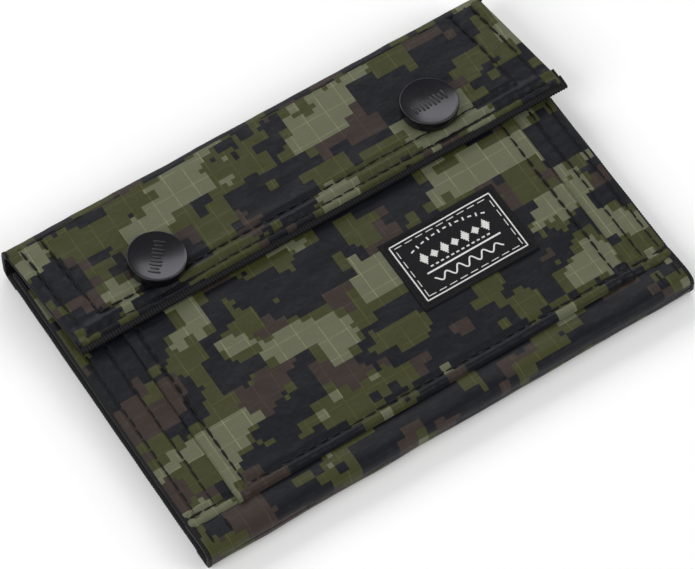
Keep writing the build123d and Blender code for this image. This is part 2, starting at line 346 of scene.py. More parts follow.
def closed_grid(name, upper, lower, uv, materials):
    """A closed sheet between two grids of points, each of shape (rows, columns, 3)."""
    rows, columns = upper.shape[:2]
    count = rows * columns
    index = np.arange(count).reshape(rows, columns)
    a, b = index[:-1, :-1].ravel(), index[1:, :-1].ravel()
    c, d = index[1:, 1:].ravel(), index[:-1, 1:].ravel()
    top = np.stack([a, b, c, d], 1)
    ring = np.concatenate([index[:, 0], index[-1, 1:], index[-2::-1, -1], index[0, -2:0:-1]])
    after = np.roll(ring, -1)
    wall = np.stack([after, ring, ring + count, after + count], 1)
    bottom = np.stack([a, d, c, b], 1) + count
    points = np.concatenate([upper.reshape(-1, 3), lower.reshape(-1, 3)])
    faces = np.concatenate([top, wall, bottom]).tolist()
    both = np.concatenate([uv.reshape(-1, 2)] * 2)
    return add_mesh(name, points, faces, both, materials, second_from=len(top))


def panel(name, body, node, slot, xs, ys, top, bottom, material, size, held="laid", rests_on=(),
          left=None, right=None):
    """A sheet of cloth in place of a CAD node. Its faces are functions of x and y, and so can its
    side edges be of y."""
    s = (xs - xs[0]) / (xs[-1] - xs[0])
    y = np.broadcast_to(ys, (len(xs), len(ys)))
    low = left(y) if left else np.full(y.shape, xs[0])
    high = right(y) if right else np.full(y.shape, xs[-1])
    x = low + (high - low) * s[:, None]
    faces = (np.stack([x, y, face(x, y)], -1) for face in (top, bottom))
    cloth = closed_grid(name, *faces, np.stack([x, y], -1), [material])
    settle(cloth, body, [node], slot)
    cut(cloth, size, held, rests_on)


def smooth_path(points, step=0.35, rounds=3):
    """A polyline with its corners cut, as points about step apart and their distances along it."""
    path = np.array(points, float)
    for _ in range(rounds):
        near = path[:-1] * 0.75 + path[1:] * 0.25
        far = path[:-1] * 0.25 + path[1:] * 0.75
        path = np.concatenate([path[:1], np.stack([near, far], 1).reshape(-1, 2), path[-1:]])
    length = run_along(path)[-1]
    at = np.linspace(0, length, max(3, int(round(length / step)) + 1))
    return spots_on(path, at), at


def run_along(path):
    """Distance along a polyline at each of its points."""
    return np.concatenate([[0], np.cumsum(np.linalg.norm(np.diff(path, axis=0), axis=1))])


def spots_on(path, at):
    """The points of a polyline at these distances along it."""
    return np.stack([np.interp(at, run_along(path), path[:, k]) for k in (0, 1)], 1)


def left_of(path):
    """Unit vectors to the left of a path, at each of its points."""
    ahead = np.gradient(path, axis=0)
    ahead /= np.linalg.norm(ahead, axis=1)[:, None]
    return np.stack([-ahead[:, 1], ahead[:, 0]], 1)


def ribbon(name, outline, along, low, high, step, thick, materials, relief, shift_v=0, path_step=0.35,
           near=()):
    """A strip of cloth along x or y that follows an outline across it. Its outer face is on the left
    of the outline's direction, as seen with the strip's length pointing at the viewer."""
    path, at = smooth_path(outline, path_step)
    out = left_of(path)
    place, arc = np.meshgrid(lines(low, high, step, near), at, indexing="ij")
    edge = np.maximum(roundover(at - at[0], thick / 2), roundover(at[-1] - at, thick / 2))
    outer = path[None] + out[None] * relief(place, arc)[..., None]
    inner = np.broadcast_to((path - out * (thick - 0.7 * edge)[:, None])[None], outer.shape)
    order = (0, 1, 2) if along == "x" else (1, 0, 2)
    faces = (np.stack([place, face[..., 0], face[..., 1]], -1)[..., order] for face in (outer, inner))
    return closed_grid(name, *faces, np.stack([place, arc + shift_v], -1), materials)


def tube_faces(faces, base, rings, sides):
    """The faces round a tube whose rings of points follow each other from base on."""
    for r in range(rings - 1):
        for k in range(sides):
            a, b = base + r * sides + k, base + r * sides + (k + 1) % sides
            faces.append((a, b, b + sides, a + sides))


def closed_tube(faces, base, rings):
    """The same for a tube with six sides and closed ends."""
    tube_faces(faces, base, rings, 6)
    last = base + (rings - 1) * 6
    faces += [(base + 3, base + 2, base + 1, base), (base + 5, base + 4, base + 3, base)]
    faces += [(last, last + 1, last + 2, last + 3), (last, last + 3, last + 4, last + 5)]


def thread(points, faces, uv, start, end, lift_start, lift_end, radius, side):
    """One stitch: a short length of thread that dives into the cloth at both ends."""
    rings = ((0.0, 0.8, -0.75), (0.16, 0.95, -0.05), (0.5, 1.0, 0.25), (0.84, 0.95, -0.05),
             (1.0, 0.8, -0.75))
    direction = (end - start) / np.linalg.norm(end - start)
    across = np.array([-direction[1], direction[0]])
    base, sides = len(points), 6
    for share, size, rise in rings:
        centre = start + (end - start) * share
        height = lift_start + (lift_end - lift_start) * share + side * radius * rise
        for j in range(sides):
            turn = math.tau * j / sides
            spot = centre + across * (radius * size) * math.cos(turn)
            points.append((spot[0], spot[1], height + radius * size * math.sin(turn)))
            uv.append((share * 2.3, j / sides))
    closed_tube(faces, base, len(rings))


def stitches(name, body, rows, surface, seed, material=None, side=1, pitch=PITCH, radius=THREAD_R):
    """Rows of sewing thread along (x, y) points on a surface. Side is -1 if the surface faces down."""
    rng = np.random.default_rng(seed)
    points, faces, uv = [], [], []
    for row in rows:
        row = np.array(row, float)
        length = run_along(row)[-1]
        count = max(1, int(length / pitch))
        gap = length / count
        for k in range(count):
            edges = np.array([k + 0.015, k + 0.985]) * gap + rng.normal(0, 0.07, 2)
            spots = spots_on(row, edges) + rng.normal(0, 0.075, (2, 2))
            heights = surface(spots[:, 0], spots[:, 1])
            thread(points, faces, uv, spots[0], spots[1], heights[0], heights[1], radius, side)
    settle(add_mesh(name, points, faces, uv, [material or THREAD]), body, slot="black_lining")


def turned(name, outline, x, y, material, sides=96):
    """A turned part from an outline of (radius, height), which starts and ends on the axis."""
    points, uv, faces = [], [], []
    for radius, height in outline[1:-1]:
        for k in range(sides):
            turn = math.tau * k / sides
            points.append((x + radius * math.cos(turn), y + radius * math.sin(turn), height))
            uv.append((radius * math.cos(turn), radius * math.sin(turn)))
    rings = len(outline) - 2
    tube_faces(faces, 0, rings, sides)
    for end, height in ((0, outline[0][1]), (rings - 1, outline[-1][1])):
        centre = len(points)
        points.append((x, y, height))
        uv.append((0, 0))
        for k in range(sides):
            a, b = end * sides + k, end * sides + (k + 1) % sides
            faces.append((centre, b, a) if end == 0 else (centre, a, b))
    return add_mesh(name, points, faces, uv, [material])


def settle(piece, body, replaced=(), slot=None):
    """Sets the body that a piece rides on, the CAD nodes that it replaces and its material slot."""
    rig.ride(piece, body)
    if replaced:
        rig.replaces(piece, *replaced)
    if slot:
        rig.slot(piece, slot)


def cut(piece, size, held, rests_on=()):
    """Declares a sheet of cloth by its width and length, unless it is too narrow."""
    if min(size) >= SMALLEST_SHEET:
        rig.sheet(piece, flat=(size[0] * MM, size[1] * MM), held=held, rests_on=rests_on)


# ---- material building ----
def scaled(colour, factor, plus=0.0):
    """A colour made darker or lighter."""
    return tuple(c * factor + plus for c in colour)


class Shade:
    """A short way to write a material's nodes."""

    def __init__(self, name):
        self.material = bpy.data.materials.new(name)
        self.material.use_nodes = True
        self.tree = self.material.node_tree
        self.bsdf = self.tree.nodes["Principled BSDF"]

    def put(self, socket, value):
        """Links a socket, or sets its value. A tuple is a colour."""
        if isinstance(value, bpy.types.NodeSocket):
            self.tree.links.new(value, socket)
        elif isinstance(value, tuple):
            socket.default_value = (*value, 1)
        else:
            socket.default_value = value

    def node(self, kind, out=0, props=(), **inputs):
        made = self.tree.nodes.new("ShaderNode" + kind)
        for key, value in dict(props).items():
            setattr(made, key, value)
        for key, value in inputs.items():
            self.put(made.inputs[key.replace("_", " ")], value)
        return made.outputs[out]

    def math(self, operation, *values):
        made = self.tree.nodes.new("ShaderNodeMath")
        made.operation = operation
        for k, value in enumerate(values):
            self.put(made.inputs[k], value)
        return made.outputs[0]

    def mul(self, first, second):
        return self.math("MULTIPLY", first, second)

    def add(self, first, second):
        return self.math("ADD", first, second)

    def mul_add(self, first, factor, plus):
        return self.math("MULTIPLY_ADD", first, factor, plus)

    def above(self, value, limit):
        return self.math("GREATER_THAN", value, limit)

    def wave(self, along, pitch):
        """A sine wave that repeats once each pitch."""
        return self.math("SINE", self.mul(along, math.tau / pitch))

    def step_of(self, value, size):
        return self.math("FLOOR", self.math("DIVIDE", value, size))

    def mix(self, factor, first, second, blend="MIX"):
        made = self.tree.nodes.new("ShaderNodeMix")
        made.data_type, made.blend_type = "RGBA", blend
        self.put(made.inputs[0], factor)
        self.put(made.inputs[6], first)
        self.put(made.inputs[7], second)
        return made.outputs[2]

    def band(self, value, low, high):
        """0 at low, 1 at high, smooth in between."""
        return self.node("MapRange", props={"interpolation_type": "SMOOTHSTEP"}, Value=value,
                         From_Min=low, From_Max=high)

    def cloth(self, shift=(0.0, 0.0)):
        """The cloth's own coordinates in millimetres, which mottle uses too."""
        split = self.tree.nodes.new("ShaderNodeSeparateXYZ")
        self.put(split.inputs[0], self.node("UVMap", props={"uv_map": "cloth"}))
        u, v = (self.add(split.outputs[k], shift[k]) for k in (0, 1))
        self.flat = self.pair(u, v)
        return u, v

    def solid(self):
        """The piece's own coordinates in metres."""
        return self.node("TexCoord", out=3)

    def pair(self, u, v):
        return self.node("CombineXYZ", X=u, Y=v)

    def noise(self, vector, scale, detail=2.0, rough=0.5):
        return self.node("TexNoise", Vector=vector, Scale=scale, Detail=detail, Roughness=rough)

    def mottle(self, scale, detail=2.0, rough=0.5):
        """Noise over the cloth."""
        return self.noise(self.flat, scale, detail, rough)

    def white(self, vector):
        return self.node("TexWhiteNoise", props={"noise_dimensions": "2D"}, Vector=vector)

    def weave(self, u, v, pitch, amount=1.0):
        """Plain weave: threads over and under each other."""
        return self.mul(self.mul(self.wave(u, pitch), self.wave(v, pitch)), amount)

    def finish(self, colour, rough, height=None, **values):
        """Colour, roughness, height in millimetres, and constants for other sockets."""
        self.put(self.bsdf.inputs["Base Color"], colour)
        self.put(self.bsdf.inputs["Roughness"], rough)
        if height is not None:
            normal = self.node("Bump", Height=height, Strength=1.0, Distance=MM)
            self.put(self.bsdf.inputs["Normal"], normal)
        for key, value in values.items():
            self.put(self.bsdf.inputs[key.replace("_", " ")], value)
        return self.material


CELL = 2.4  # side of one square of the camouflage
GRID = 5.0  # spacing of the ripstop threads
WEFT = 0.26  # spacing of the label's rows of weft
LIGHT = (0.138, 0.145, 0.086)
OLIVE = (0.047, 0.050, 0.0125)
BROWN = (0.038, 0.025, 0.020)
CHARCOAL = (0.0022, 0.0028, 0.0064)
DUST = (0.016, 0.016, 0.018)  # dust on the tapes and the label
FINER_FROM = 0.72  # share of the blocks whose squares are not halved

# Where the random fields pass into each colour. A higher value gives less of it.
LIGHT_FROM, FRINGE_FROM, OLIVE_FROM, BROWN_FROM = 0.580, 0.548, 0.565, 0.560


def camo(name, shift):
    """Coated ripstop nylon with a printed pattern of squares in four colours."""
    m = Shade(name)
    u, v = m.cloth(shift)
    block = m.pair(m.step_of(u, CELL * 2), m.step_of(v, CELL * 2))
    side = m.mul_add(m.above(m.white(block), FINER_FROM), -CELL / 2, CELL)
    cell_u, cell_v = (m.mul(m.add(m.step_of(value, side), 0.5), side) for value in (u, v))
    speck = m.white(m.pair(cell_u, cell_v))
    loose = m.mul(m.math("SUBTRACT", speck, 0.5), 0.035)

    def field(step_u, step_v, along, up):
        """A smooth random field over the squares, shifted so that each colour has its own."""
        place = m.pair(m.mul_add(cell_u, step_u, along), m.mul_add(cell_v, step_v, up))
        return m.add(m.noise(place, 1.0), loose)

    pale = field(0.052, 0.068, 0.0, 0.0)
    olive = m.above(field(0.058, 0.066, 57.3, 20.9), OLIVE_FROM)
    brown = m.above(field(0.055, 0.072, 31.7, 12.3), BROWN_FROM)
    colour = m.mix(brown, CHARCOAL, BROWN)
    colour = m.mix(m.math("MAXIMUM", m.above(pale, FRINGE_FROM), olive), colour, OLIVE)
    colour = m.mix(m.above(pale, LIGHT_FROM), colour, LIGHT)
    colour = m.mix(m.mul(m.mottle(0.09, 3.0, 0.6), 0.03), colour, (0.10, 0.10, 0.10))
    # The ripstop threads are drawn lighter, more so on the lines at constant u: a painted highlight on the raised
    # threads.
    line_u, line_v = (m.band(m.math("PINGPONG", value, GRID / 2), 0.13, 0.03) for value in (u, v))
    line = m.math("MAXIMUM", line_u, m.mul(line_v, 0.6))
    line = m.mul(line, m.mul_add(m.band(m.mottle(0.35), 0.3, 0.7), 0.7, 0.3))
    ripstop_highlight = m.mix(1.0, colour, (2.5, 2.5, 2.2), "MULTIPLY")
    colour = m.mix(m.mul(line, 0.75), colour, ripstop_highlight)
    darker = m.mix(1.0, colour, (0.50, 0.50, 0.50), "MULTIPLY")
    colour = m.mix(m.mul(m.mottle(2.4), 0.42), colour, darker)
    woven = m.weave(u, v, 0.42)
    colour = m.mix(m.mul_add(woven, 0.11, 0.11), colour, (0.008, 0.009, 0.009))
    soft = m.mul(m.mottle(0.11, 3.0, 0.55), 0.55)
    small = m.mul(m.mottle(0.5), 0.10)
    height = m.add(m.add(soft, small), m.mul(line, 0.018))
    height = m.add(height, m.mul(woven, 0.006))
    rough = m.mul_add(m.mottle(0.2, 3.0), 0.16, 0.42)
    return m.finish(colour, rough, height, Specular_IOR_Level=0.21)


def plain_weave(name, colour, pitch, wrinkle):
    """Woven polyester lining, a little dusty, with slow wrinkles."""
    m = Shade(name)
    u, v = m.cloth()
    dusty = scaled(colour, 2.4, 0.003)
    tone = m.mix(m.mottle(0.16, 4.0, 0.6), colour, dusty)
    check = m.math("ABSOLUTE", m.weave(u, v, pitch))
    tone = m.mix(m.mul(check, 0.6), tone, scaled(colour, 0.3))
    slub = m.noise(m.pair(m.mul(u, 0.35), m.mul(v, 3.2)), 1.0)
    tone = m.mix(m.mul(slub, 0.4), tone, dusty)
    soft = m.mul(m.mottle(0.085, 3.0, 0.55), wrinkle)
    small = m.mul(m.mottle(0.42), wrinkle * 0.22)
    height = m.add(m.add(soft, small), m.weave(u, v, pitch, 0.022))
    rough = m.mul_add(m.mottle(0.3, 3.0), 0.22, 0.41)
    return m.finish(tone, rough, height, Specular_IOR_Level=0.23)


def grosgrain(name, colour, across_u=True):
    """Ribbed tape: the ribs cross the tape, and fine threads run along it. Its colour is darker in the grooves between
    the ribs and lighter on their crests, as painted shade and painted highlight.
    """
    m = Shade(name)
    u, v = m.cloth()
    first, second = (u, v) if across_u else (v, u)
    rib = m.mul_add(m.math("COSINE", m.mul(first, math.tau / RIB)), 0.5, 0.5)
    # Painted shade in the grooves between the ribs, painted highlight on their crests.
    tone = m.mix(rib, scaled(colour, 0.15), scaled(colour, 1.7))
    tone = m.mix(m.mul(m.mottle(1.1, 3.0), 0.35), tone, DUST)
    height = m.mul_add(rib, 0.07, m.mul(m.wave(second, 0.3), 0.008))
    rough = m.mul_add(m.mottle(2.0), 0.2, 0.5)
    return m.finish(tone, rough, height, Specular_IOR_Level=0.17)


def sewing_thread(name, colour):
    """Twisted thread, lighter on the ridges of its twist and darker between them, as painted highlight and painted
    shade.
    """
    m = Shade(name)
    u, v = m.cloth()
    twist = m.math("SINE", m.mul(m.mul_add(v, 2.0, m.mul(u, 2.2)), math.tau))
    # Painted highlight on the twist's ridges, painted shade between them.
    tone = m.mix(m.mul_add(twist, 0.5, 0.5), scaled(colour, 0.5), colour)
    return m.finish(tone, m.mul_add(twist, 0.08, 0.55), m.mul(twist, 0.012), Specular_IOR_Level=0.22)


def lacquer(name, colour, rough, metallic=0.0, **values):
    """Painted or plated metal, or hard plastic, with faint handling marks."""
    m = Shade(name)
    place = m.solid()
    cloud = m.noise(place, 260.0, 3.0)
    tone = m.mix(cloud, scaled(colour, 0.8), scaled(colour, 1.25))
    scuff = m.band(m.noise(place, 900.0, 4.0, 0.7), 0.62, 0.75)
    tone = m.mix(m.mul(scuff, 0.25), tone, scaled(colour, 2.0, 0.01))
    wear = m.mul_add(cloud, 0.10, rough - 0.05)
    height = m.mul(m.noise(place, 2600.0), 0.002)
    return m.finish(tone, m.mul_add(scuff, 0.12, wear), height, Metallic=metallic, **values)


def board(name):
    """Grey fibre board with flecks."""
    m = Shade(name)
    fleck = m.noise(m.solid(), 1400.0, 4.0, 0.7)
    tone = m.mix(fleck, (0.16, 0.15, 0.13), (0.34, 0.32, 0.28))
    return m.finish(tone, m.mul_add(fleck, 0.1, 0.8), m.mul(fleck, 0.05))


def vinyl(name):
    """Clear soft plastic, slightly hazy and wavy."""
    m = Shade(name)
    place = m.solid()
    haze = m.noise(place, 60.0, 3.0)
    tone = m.mix(haze, (0.030, 0.032, 0.034), (0.070, 0.074, 0.078))
    height = m.mul(m.noise(place, 34.0, 1.0), 0.8)
    return m.finish(tone, m.mul_add(haze, 0.10, 0.07), height, Alpha=0.42, IOR=1.5)


def woven_label(name):
    """Black damask label: close rows of weft across it, lighter on each row's crest and darker between rows, as
    painted highlight and painted shade.
    """
    m = Shade(name)
    u, v = m.cloth()
    weft = m.wave(v, WEFT)
    # Painted highlight on the weft rows' crests, painted shade between the rows.
    tone = m.mix(m.mul_add(weft, 0.5, 0.5), (0.003, 0.003, 0.0035), (0.010, 0.010, 0.012))
    tone = m.mix(m.mul(m.mottle(0.4, 3.0), 0.3), tone, DUST)
    height = m.mul_add(weft, 0.020, m.mul(m.wave(u, 0.34), 0.008))
    soft = m.mul(m.mottle(0.16), 0.3)
    rough = m.mul_add(m.mottle(1.5), 0.14, 0.62)
    return m.finish(tone, rough, m.add(height, soft), Specular_IOR_Level=0.14)


def label_thread(name):
    """Off-white woven thread of the label's marks, lighter on the weft's crests and darker between them, as painted
    highlight and painted shade.
    """
    m = Shade(name)
    u, v = m.cloth()
    weft = m.wave(v, WEFT)
    broken = m.noise(m.pair(m.mul(u, 2.4), m.mul(v, 3.8)), 1.0)
    # Painted highlight on the weft's crests, painted shade between them.
    tone = m.mix(m.mul_add(weft, 0.3, 0.5), (0.50, 0.50, 0.48), (0.88, 0.88, 0.86))
    tone = m.mix(m.band(broken, 0.64, 0.74), tone, (0.10, 0.10, 0.10))
    return m.finish(tone, m.mul_add(broken, 0.15, 0.6), m.mul(weft, 0.02))


CAMO_FRONT = camo("camo_front", (401.0, 207.0))
CAMO_POCKET = camo("camo_pocket", (733.6, 118.2))
CAMO_FLAP = camo("camo_flap", (158.4, 355.0))
CAMO_BAND = camo("camo_band", (612.0, 492.6))
CAMO_BACK = camo("camo_back", (955.2, 640.8))
LINING = plain_weave("lining_cloth", (0.0036, 0.0036, 0.0044), 0.5, 1.3)
TAPE = grosgrain("binding_tape_ribs", (0.006, 0.006, 0.007))
TAPE_END = grosgrain("binding_tape_end", (0.006, 0.006, 0.007), across_u=False)
TAPE_Y = grosgrain("binding_tape_plain", (0.011, 0.011, 0.012))
THREAD = sewing_thread("black_thread", (0.003, 0.003, 0.0036))
# Black thread inside, drawn in a lighter grey that stands in for its sheen: painted sheen.
INNER_THREAD = sewing_thread("black_thread_painted_sheen", (0.055, 0.055, 0.058))
LABEL = woven_label("label_cloth")
MARKS = label_thread("label_marks")
CAP = lacquer("cap_black", (0.004, 0.004, 0.0056), 0.22, Specular_IOR_Level=0.38,
              Specular_Tint=(0.93, 0.92, 1.0))
CAP_RIBS = lacquer("cap_black_ribs", (0.005, 0.005, 0.006), 0.32, Specular_IOR_Level=0.38)
METAL = lacquer("snap_gunmetal", (0.060, 0.060, 0.065), 0.32, 1.0)
ZIP_METAL = lacquer("zip_gunmetal", (0.060, 0.060, 0.066), 0.30, 1.0)
COIL = lacquer("coil_nylon", (0.016, 0.016, 0.018), 0.34)
BOARD = board("fibre_board")
VINYL = vinyl("window_vinyl")


# ---- front panel ----
def front_left(y):
    """Left edge of the front's cloth, with its lower corner rounded."""
    return -HALF - 0.25 + roundover(y - SEAM_Y, 1.2)


def front_right(y):
    return -front_left(y)


def rolled(across, x, amount, wave, drift):
    """The uneven roll of folded cloth at a lower edge, highest where across is 0."""
    return amount * dent(across, 0.9) * (0.75 + 0.25 * np.sin(x * wave + 1.2 * np.sin(x * drift)))


def front_skin(x, y):
    """Height of the front's cloth: sewn, rolled at its lower edge, sunk under the pocket."""
    z = FRONT_TOP + 0.10 * ripple(x, y, 3, 26.0) + 0.03 * ripple(x, y, 4, 9.0)
    for line in SIDE_STITCHES:
        z = z + seam(x - line, y, 0.30)
    z = z + 0.16 * (dent(x + 57.6, 1.6) + dent(x - 58.8, 1.6))
    z = z + seam(y - SEAM_STITCH_Y, x, 0.34)
    z = z + rolled(y - (SEAM_Y + CREST_IN), x, 0.24, 1.9, 0.37)
    z = z - roundover(inward(x, front_left(y), front_right(y)), 0.55) * 0.9
    z = z - roundover(y - SEAM_Y, 0.95) - roundover(FRONT_END_Y - y, 0.4)
    sunk = 0.30
    for value, limit in ((x, POCKET_LOW[0]), (-x, -POCKET_HIGH[0]), (-y, -POCKET_HIGH[1])):
        sunk = sunk * ease(value, limit, limit + 1.2)
    return z - sunk


def front_panel():
    low_z = FRONT_LOW[2] + 0.2

    def under(x, y):
        side = inward(x, front_left(y), front_right(y))
        return low_z + roundover(np.minimum(side, y - SEAM_Y), 0.4) * 0.7

    xs = lines(-HALF, HALF, 0.8, (*SIDE_STITCHES, POCKET_LOW[0], POCKET_HIGH[0]))
    ys = lines(SEAM_Y, FRONT_END_Y, 0.8, (SEAM_STITCH_Y, SEAM_Y + CREST_IN, POCKET_HIGH[1]))
    panel("front_cloth", "front", "front_shell", "camo_nylon", xs, ys, front_skin, under, CAMO_FRONT,
          FRONT_CUT, "stretched", ["front_stiffener"], front_left, front_right)
    rows = [[(line, SEAM_Y + 3.2), (line, 36.5)] for line in SIDE_STITCHES]
    rows += [[(-HALF + 0.5, SEAM_STITCH_Y), (POCKET_LOW[0] - 0.6, SEAM_STITCH_Y)],
             [(POCKET_HIGH[0] + 0.6, SEAM_STITCH_Y), (HALF - 0.5, SEAM_STITCH_Y)]]
    stitches("front_stitching", "front", rows, front_skin, seed=11)


def pocket_skin(x, y):
    """Height of the patch pocket's cloth: folded side edges, a caught lower edge, a free mouth."""
    low, high = POCKET_LOW, POCKET_HIGH
    z = high[2] + 0.09 * ripple(x, y, 21, 24.0) + 0.03 * ripple(x, y, 22, 8.0)
    side = inward(x, low[0], high[0])
    z = z + seam(side - POCKET_STITCH_IN, y, 0.32)
    z = z + 0.20 * dent(side - FOLD_CREST_IN, 1.3)
    z = z + seam(y - SEAM_STITCH_Y, x, 0.36)
    z = z + rolled(y - (low[1] + CREST_IN), x, 0.26, 1.7, 0.41)
    z = z + 0.22 * np.exp(-(((x - 0.8) / 38.0) ** 4)) * np.exp(-(((y + 8.0) / 20.0) ** 4))
    return z - roundover(side, 0.75) - roundover(y - low[1], 1.0) - roundover(high[1] - y, 0.35)


def pocket():
    low, high = POCKET_LOW, POCKET_HIGH
    left_stitch, right_stitch = low[0] + POCKET_STITCH_IN, high[0] - POCKET_STITCH_IN

    def under(x, y):
        return low[2] - 0.12 + roundover(np.minimum(inward(x, low[0], high[0]), high[1] - y), 0.25)

    near_x = (left_stitch, right_stitch, low[0] + FOLD_CREST_IN, high[0] - FOLD_CREST_IN)
    xs = lines(low[0], high[0], 0.8, near_x)
    ys = lines(low[1] - 0.15, high[1], 0.8, (SEAM_STITCH_Y, low[1] + CREST_IN))
    panel("patch_pocket_cloth", "front", "patch_pocket", "camo_nylon", xs, ys, pocket_skin, under,
          CAMO_POCKET, POCKET_CUT, "stretched", ["front_cloth"])
    rows = [[(x, SEAM_STITCH_Y + 0.6), (x, high[1] - 1.5)] for x in (left_stitch, right_stitch)]
    rows += [[(low[0] + 0.4, SEAM_STITCH_Y), (high[0] - 0.4, SEAM_STITCH_Y)],
             [(low[0] + 4.5, high[1] - 2.0), (high[0] - 4.5, high[1] - 2.0)]]
    stitches("pocket_stitching", "front", rows, pocket_skin, seed=12)


# ---- label ----
def label_skin(x, y):
    """Height of the label's cloth, with its turned edge and a groove inside it."""
    edge = border(x, y, LABEL_LOW, LABEL_HIGH)
    z = LABEL_HIGH[2] + 0.12 + 0.05 * ripple(x, y, 31, 13.0) + 0.10 * dent(edge - 0.6, 0.5)
    z = z - 0.14 * dent(edge - 1.15, 0.45)
    return z - roundover(edge, 0.35)


def sides_of(low, high, inset):
    """The four sides of a box this far in from its edges, as pairs of points."""
    x0, x1, y0, y1 = low[0] + inset, high[0] - inset, low[1] + inset, high[1] - inset
    corners = [(x0, y0), (x1, y0), (x1, y1), (x0, y1), (x0, y0)]
    return list(zip(corners, corners[1:]))


def label():
    low, high = LABEL_LOW, LABEL_HIGH
    xs = lines(low[0], high[0], 0.5, (low[0] + 1.2, high[0] - 1.2), 0.6)
    ys = lines(low[1], high[1], 0.5, (low[1] + 1.2, high[1] - 1.2), 0.6)
    panel("woven_label_patch", "front", "label_patch", "woven_label", xs, ys, label_skin,
          level(low[2] - 0.1), LABEL, LABEL_CUT, rests_on=["patch_pocket_cloth"])
    stitches("label_stitching", "front", sides_of(low, high, 1.1), label_skin, seed=13, pitch=2.4,
             radius=0.13)


def mark_strip(points, faces, uv, path, width):
    """A flat woven line of one width along (x, y) points, a hair above the label."""
    base = len(points)
    for spot, off in zip(path, left_of(path) * width / 2):
        for share, rise in ((-1.0, -0.03), (-0.85, 0.045), (0.85, 0.045), (1.0, -0.03)):
            x, y = spot + off * share
            points.append((x, y, float(label_skin(x, y)) + rise))
            uv.append((x, y))
    for k in range(len(path) - 1):
        a = base + 4 * k
        for j in range(3):
            faces.append((a + j + 4, a + j + 5, a + j + 1, a + j))
        faces.append((a + 3, a + 7, a + 4, a))
    end = base + 4 * (len(path) - 1)
    faces += [(base + 3, base + 2, base + 1, base), (end, end + 1, end + 2, end + 3)]


def straight(start, end, step=0.6):
    """Points along a line, about step apart."""
    return np.linspace(start, end, max(2, int(math.dist(start, end) / step) + 1))


def label_marks():
    """Generic woven marks: a border, dashes inside it and on an arc, lozenges and a wave."""
    low, high = LABEL_LOW, LABEL_HIGH
    cx, cy = (low[0] + high[0]) / 2, (low[1] + high[1]) / 2
    points, faces, uv = [], [], []

    def draw(path, width):
        mark_strip(points, faces, uv, path, width)

    def dashes(start, end, count):
        start, end = np.array(start), np.array(end)
        for k in range(count):
            first = start + (end - start) * k / count
            draw(straight(first, first + (end - start) / count * 0.68), 0.2)

    for side in sides_of(low, high, 1.9):
        draw(straight(*side), 0.34)
    bottom, right, top, left = sides_of(low, high, 2.75)
    dashes(*bottom, 9)
    dashes(*top[::-1], 9)
    dashes(*left[::-1], 5)
    dashes(*right, 5)
    for k in range(13):
        turn = math.radians(90 + (k - 6) * 3.0)
        ray = np.array([math.cos(turn), math.sin(turn)])
        spot = np.array([cx, cy - 24.2]) + 30.0 * ray
        lean = 0.46 * (ray if k % 2 else np.array([-ray[1], ray[0]]))
        draw(straight(spot - lean, spot + lean, 0.3), 0.40)
    for k in range(7):
        x, reach = cx - 8.1 + 2.7 * k, 1.05 if k % 2 else 1.55
        for share in np.linspace(-0.9, 0.9, 7):
            run = reach * (1.02 - abs(share))
            draw(straight((x + share, cy + 1.5 - run), (x + share, cy + 1.5 + run), 0.3), 0.34)
    for k in range(12):
        x = cx - 7.9 + 1.35 * k
        draw(straight((x, cy - 0.9), (x + 0.75, cy - 0.9), 0.3), 0.42)
    draw(straight((cx - 9.6, cy - 2.1), (cx + 9.8, cy - 2.0)), 0.46)
    t = np.linspace(-1, 1, 90)
    draw(np.stack([cx + 8.8 * t, cy - 4.4 + 0.95 * np.sin(t * 17.0) * (1 - 0.35 * t * t)], 1), 0.40)
    settle(add_mesh("label_pattern", points, faces, uv, [MARKS]), "front", slot="woven_label")


# ---- folds ----
def fold_waves(seed):
    """Slow waves in a fold's cloth, never lower than the table."""

    def relief(x, arc):
        waves = 0.07 * ripple(x, arc, seed, 17.0) + 0.03 * ripple(x, arc, seed + 1, 6.0)
        return np.minimum(waves, REST_Z - 0.02)

    return relief


def fold_piece(name, outline, material, shift_v, relief, blend, replaced=()):
    """Cloth round one corner of a fold, bent between two bodies, with its tape over both ends. Blend
    holds the two bodies and the (y, z) points where the bend starts and ends."""
    materials = [material, LINING]
    cloth = ribbon(f"{name}_cloth", outline, "x", -HALF, HALF, 0.9, 0.75, materials, relief, shift_v)
    if replaced:
        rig.replaces(cloth, *replaced)
    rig.slot(cloth, "camo_nylon")

    def wrap(x, arc):
        """Outside the cloth at its very end, and against its inner face further in."""
        return np.where(np.abs(x) > HALF - 0.12, 0.10, -0.86) + tape_ribs(arc, 0.02)

    pieces = [cloth]
    for side, sign in SIDES:
        ends = sorted((sign * TAPE_IN, sign * TAPE_OUT))
        tape = ribbon(f"{name}_tape_{side}", outline, "x", *ends, 0.6, 1.12, [TAPE_END], wrap,
                      path_step=TAPE_STEP, near=(sign * (HALF - 0.12),))
        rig.slot(tape, "binding_tape")
        pieces.append(tape)
    bodies, *ends = blend
    start, end = ((0, y * MM, z * MM) for y, z in ends)
    for piece in pieces:
        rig.blend(piece, *bodies, start, end)
    cut(cloth, (2 * HALF, smooth_path(outline)[1][-1]), held="folded")


